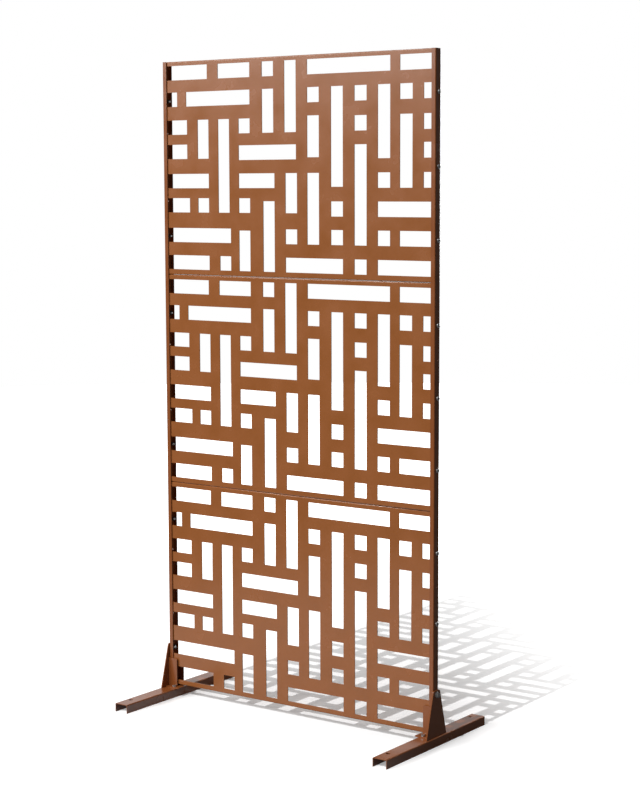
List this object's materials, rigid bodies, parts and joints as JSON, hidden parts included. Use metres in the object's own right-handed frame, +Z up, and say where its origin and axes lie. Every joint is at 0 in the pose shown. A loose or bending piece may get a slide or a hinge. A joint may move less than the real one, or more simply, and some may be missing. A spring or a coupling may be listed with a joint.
{
  "type": "garden privacy screen",
  "caption": "Free-standing steel privacy screen: laser-cut folded trays stacked between two channel posts, on two channel feet with anchor holes.",
  "frame": {"origin": "on the ground, at the centre of the footprint of the two feet", "axes": "+X along the screen to its right as seen from the front, +Y from the front to the back, +Z up"},
  "size_m": [0.9324, 0.488, 1.83],
  "materials": {
    "panel_coat": "satin rust-brown powder coat",
    "frame_coat": "satin rust-brown powder coat",
    "fastener_steel": "zinc-plated"
  },
  "bodies": {
    "root": {"panel_top": "panel_coat", "panel_middle": "panel_coat", "panel_bottom": "panel_coat", "post_left": "frame_coat", "post_right": "frame_coat", "foot_left": "frame_coat", "foot_right": "frame_coat", "bracket_left": "frame_coat", "bracket_right": "frame_coat", "panel_screws_left": "fastener_steel", "panel_screws_right": "fastener_steel", "panel_nuts_left": "fastener_steel", "panel_nuts_right": "fastener_steel", "gusset_washer_left": "fastener_steel", "gusset_washer_right": "fastener_steel", "gusset_bolt_left": "fastener_steel", "gusset_bolt_right": "fastener_steel", "gusset_nut_left": "fastener_steel", "gusset_nut_right": "fastener_steel", "foot_bolts_left": "fastener_steel", "foot_bolts_right": "fastener_steel", "foot_nuts_left": "fastener_steel", "foot_nuts_right": "fastener_steel"}
  },
  "joints": []
}
